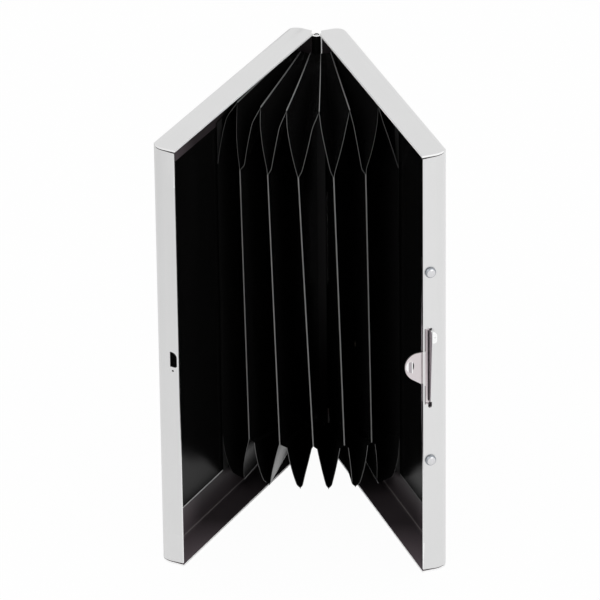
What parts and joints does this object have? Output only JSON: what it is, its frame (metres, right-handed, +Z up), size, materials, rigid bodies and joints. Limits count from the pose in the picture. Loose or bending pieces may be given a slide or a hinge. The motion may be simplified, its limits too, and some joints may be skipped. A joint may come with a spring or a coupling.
{
  "type": "card holder",
  "caption": "Hinged stainless steel card case standing open, with a fan of black film card pouches and a sprung push latch.",
  "frame": {"origin": "under the middle of the open holder, on the plane of the two short ends that it stands on", "axes": "+Z up along the hinge, -Y towards the open latch side, +X towards the shell that carries the latch"},
  "size_m": [0.0574, 0.0572, 0.095],
  "materials": {
    "shell_steel": "satin stainless steel sheet",
    "pin_steel": "drawn steel wire",
    "spring_steel": "bright spring steel strip, slightly warm",
    "rivet_steel": "bright domed rivet",
    "film": "glossy black plastic film"
  },
  "bodies": {
    "left_half": {"left_shell": "shell_steel", "hinge_pin": "pin_steel", "film_left": "film", "pouch_1_top": "film", "pouch_1_bottom": "film"},
    "right_half": {"right_shell": "shell_steel", "latch_spring": "spring_steel", "rivet_upper": "rivet_steel", "rivet_lower": "rivet_steel", "film_right": "film", "pouch_6_top": "film", "pouch_6_bottom": "film"},
    "latch": {"latch_hook": "spring_steel"},
    "leaf_1": {"divider_1": "film", "pouch_2_top": "film", "pouch_2_bottom": "film"},
    "leaf_2": {"divider_2": "film", "pouch_3_top": "film", "pouch_3_bottom": "film"},
    "leaf_3": {"divider_3": "film", "pouch_4_top": "film", "pouch_4_bottom": "film"},
    "leaf_4": {"divider_4": "film", "pouch_5_top": "film", "pouch_5_bottom": "film"},
    "leaf_5": {"divider_5": "film"}
  },
  "joints": [
    {"name": "case_hinge", "type": "hinge", "parent": "left_half", "child": "right_half", "pos_m": [0, 0.02613, 0.0475], "axis": [0, 0, 1], "range_deg": [-48, 35], "deforming": ["pouch_6_top", "pouch_6_bottom"]},
    {"name": "divider_1_fold", "type": "hinge", "parent": "left_half", "child": "leaf_1", "pos_m": [0, 0.02613, 0.0475], "axis": [0, 0, 1], "range_deg": [-7.2, 5.25], "deforming": ["pouch_1_top", "pouch_1_bottom"]},
    {"name": "divider_2_fold", "type": "hinge", "parent": "leaf_1", "child": "leaf_2", "pos_m": [0, 0.02613, 0.0475], "axis": [0, 0, 1], "range_deg": [-7.97, 5.81], "deforming": ["pouch_2_top", "pouch_2_bottom"]},
    {"name": "divider_3_fold", "type": "hinge", "parent": "leaf_2", "child": "leaf_3", "pos_m": [0, 0.02613, 0.0475], "axis": [0, 0, 1], "range_deg": [-8.3, 6.05], "deforming": ["pouch_3_top", "pouch_3_bottom"]},
    {"name": "divider_4_fold", "type": "hinge", "parent": "leaf_3", "child": "leaf_4", "pos_m": [0, 0.02613, 0.0475], "axis": [0, 0, 1], "range_deg": [-8.45, 6.16], "deforming": ["pouch_4_top", "pouch_4_bottom"]},
    {"name": "divider_5_fold", "type": "hinge", "parent": "leaf_4", "child": "leaf_5", "pos_m": [0, 0.02613, 0.0475], "axis": [0, 0, 1], "range_deg": [-7.73, 5.63], "deforming": ["pouch_5_top", "pouch_5_bottom"]},
    {"name": "latch_press", "type": "slide", "parent": "right_half", "child": "latch", "axis": [-0.4067, 0.9135, 0], "range_m": [0, 0.0008], "stiffness_N_per_m": 2000, "deforming": ["latch_spring"]}
  ],
  "couplings": [
    {"joint": "divider_1_fold", "follows": "case_hinge", "ratio": 0.15},
    {"joint": "divider_2_fold", "follows": "case_hinge", "ratio": 0.166},
    {"joint": "divider_3_fold", "follows": "case_hinge", "ratio": 0.173},
    {"joint": "divider_4_fold", "follows": "case_hinge", "ratio": 0.176},
    {"joint": "divider_5_fold", "follows": "case_hinge", "ratio": 0.161}
  ]
}
